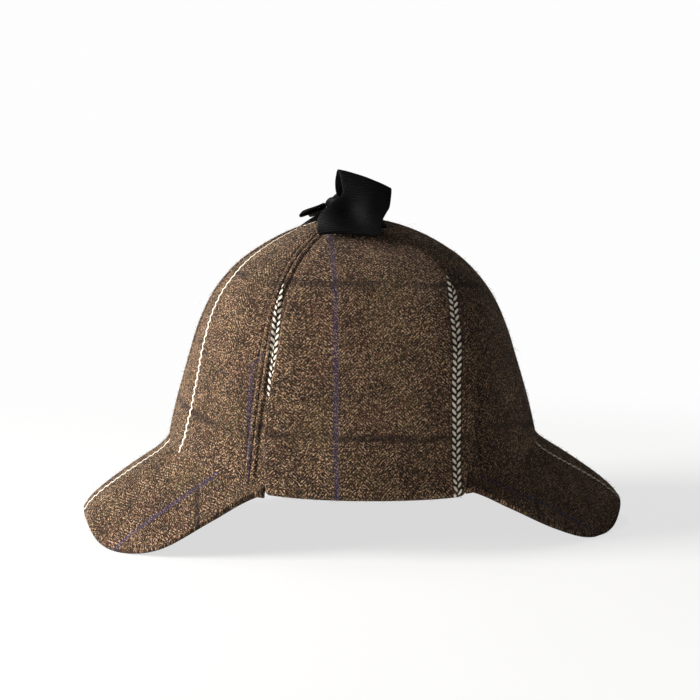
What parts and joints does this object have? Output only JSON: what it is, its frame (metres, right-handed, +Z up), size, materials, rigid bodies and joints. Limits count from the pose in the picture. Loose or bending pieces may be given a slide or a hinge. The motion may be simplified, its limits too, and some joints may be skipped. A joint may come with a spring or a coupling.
{
  "type": "deerstalker hat",
  "caption": "Tweed deerstalker hat with a panelled crown, a stiff peak front and back, and ear flaps folded up and tied over the top with a black ribbon bow.",
  "frame": {"origin": "on the table that the hat stands on, under the middle of its bounding box", "axes": "+Z up, -X forward past the front peak, -Y towards the wearer's left"},
  "size_m": [0.3088, 0.1902, 0.2029],
  "materials": {
    "tweed": "brown wool tweed with thin cream and blue stripes",
    "ribbon": "black ribbed ribbon with a soft sheen"
  },
  "bodies": {
    "root": {"crown_panel_front_left": "tweed", "crown_panel_side_left": "tweed", "crown_panel_back_left": "tweed", "crown_panel_front_right": "tweed", "crown_panel_side_right": "tweed", "crown_panel_back_right": "tweed", "front_peak": "tweed", "back_peak": "tweed", "ear_flap_left": "tweed", "ear_flap_right": "tweed", "ribbon_strap_left": "ribbon", "ribbon_strap_right": "ribbon", "ribbon_knot": "ribbon", "ribbon_loop_standing": "ribbon", "ribbon_loop_low": "ribbon", "ribbon_tail_front": "ribbon", "ribbon_tail_back": "ribbon"}
  },
  "joints": []
}
